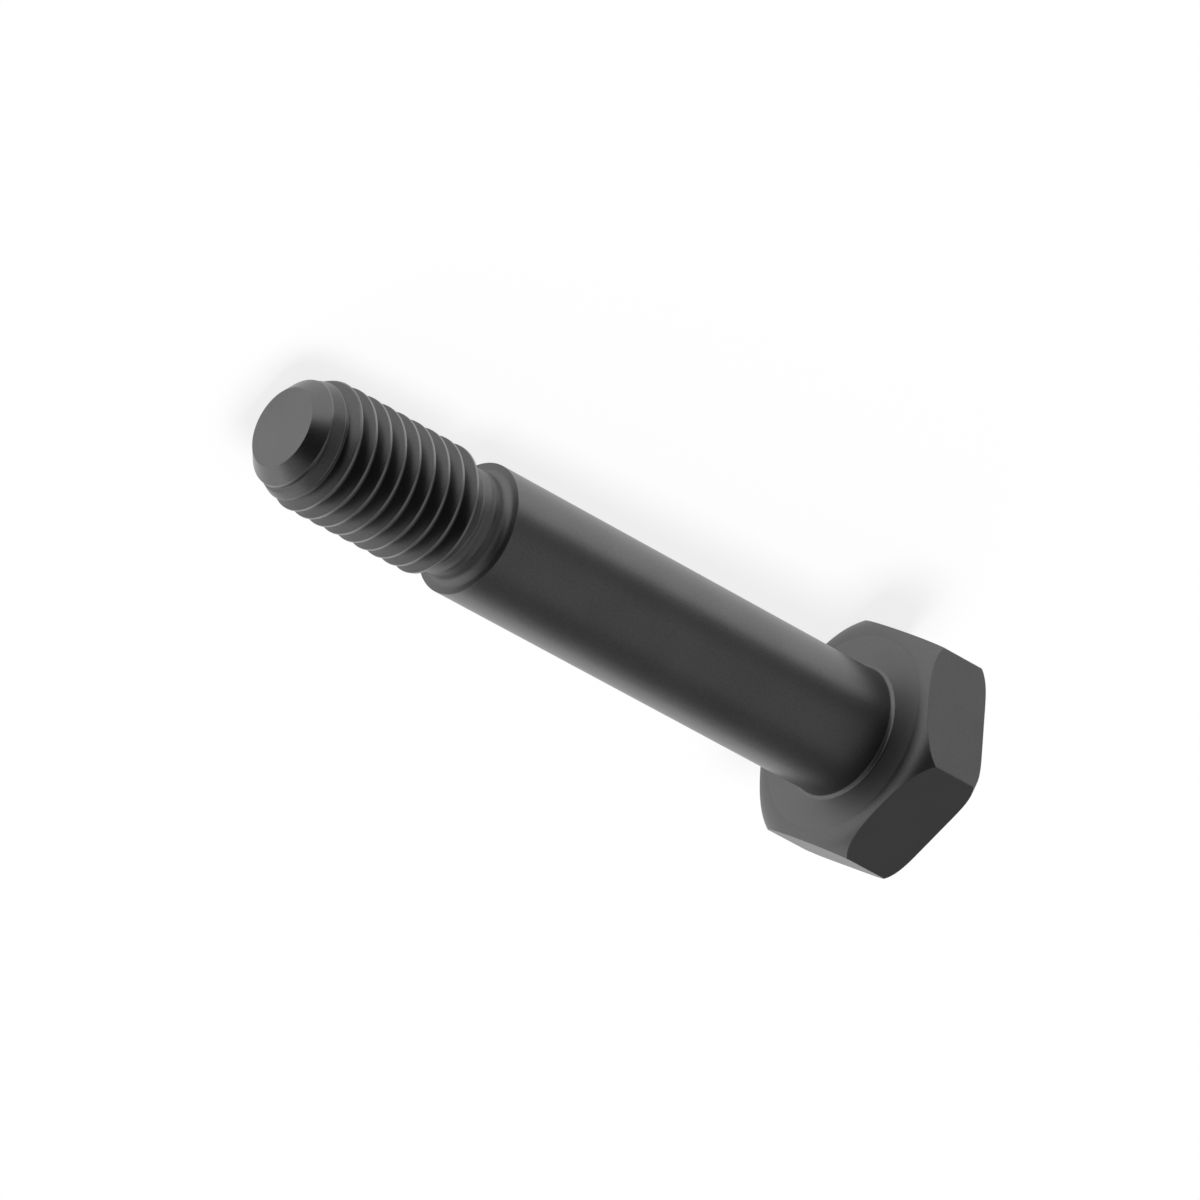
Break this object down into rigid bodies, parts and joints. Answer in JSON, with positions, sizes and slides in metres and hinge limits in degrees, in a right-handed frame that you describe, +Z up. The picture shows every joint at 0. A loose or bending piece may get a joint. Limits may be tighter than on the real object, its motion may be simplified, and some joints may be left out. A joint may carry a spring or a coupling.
{
  "type": "hexagon fit bolt",
  "caption": "Hexagon head fit bolt with a ground plain shank, a short reduced neck and a right-hand thread on the end, lying on its side.",
  "frame": {"origin": "on the floor, under the middle of the lying bolt's bounding box", "axes": "+X along the bolt from the tip towards the head, level; +Z up; +Y to the left as seen from the tip"},
  "size_m": [0.0782, 0.0242, 0.0215],
  "materials": {
    "dark_steel": "satin black oxide"
  },
  "bodies": {
    "root": {"hex_fit_bolt": "dark_steel"}
  },
  "joints": []
}
